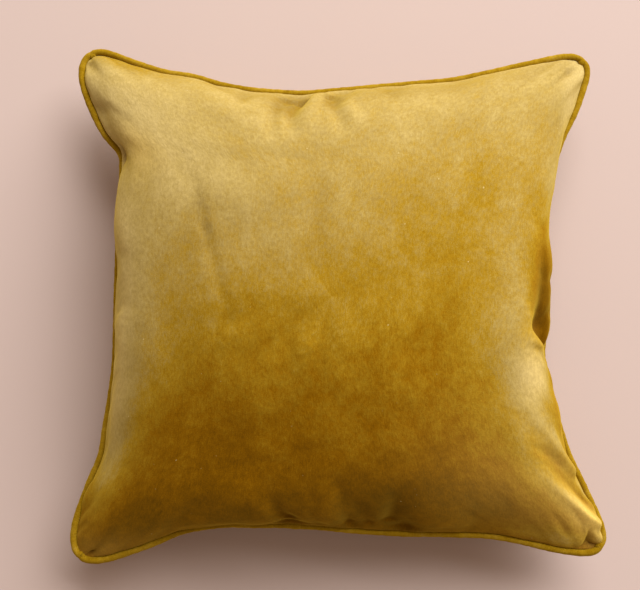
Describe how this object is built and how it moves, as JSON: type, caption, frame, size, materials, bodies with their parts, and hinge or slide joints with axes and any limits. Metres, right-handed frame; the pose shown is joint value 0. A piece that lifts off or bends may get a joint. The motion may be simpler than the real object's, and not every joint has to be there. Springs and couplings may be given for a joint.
{
  "type": "square piped scatter cushion",
  "caption": "Square velvet cushion with a filled, crowned body, sides drawn in between pointed corners, and a covered cord sewn round its seam. It lies on its back.",
  "frame": {"origin": "the middle of the whole outline, at the level of the flat underside that the cushion rests on", "axes": "+Z out of the front face, +Y towards the side that is uppermost when the cushion is stood up, and +X to the right of someone who looks at its front"},
  "size_m": [0.4466, 0.4392, 0.1397],
  "materials": {
    "velvet": "short soft pile with a sheen, brushed in patches",
    "piping_velvet": "the same velvet, cut on the bias and drawn tight over a cord"
  },
  "bodies": {
    "root": {"cushion": "velvet", "piping": "piping_velvet"}
  },
  "joints": []
}
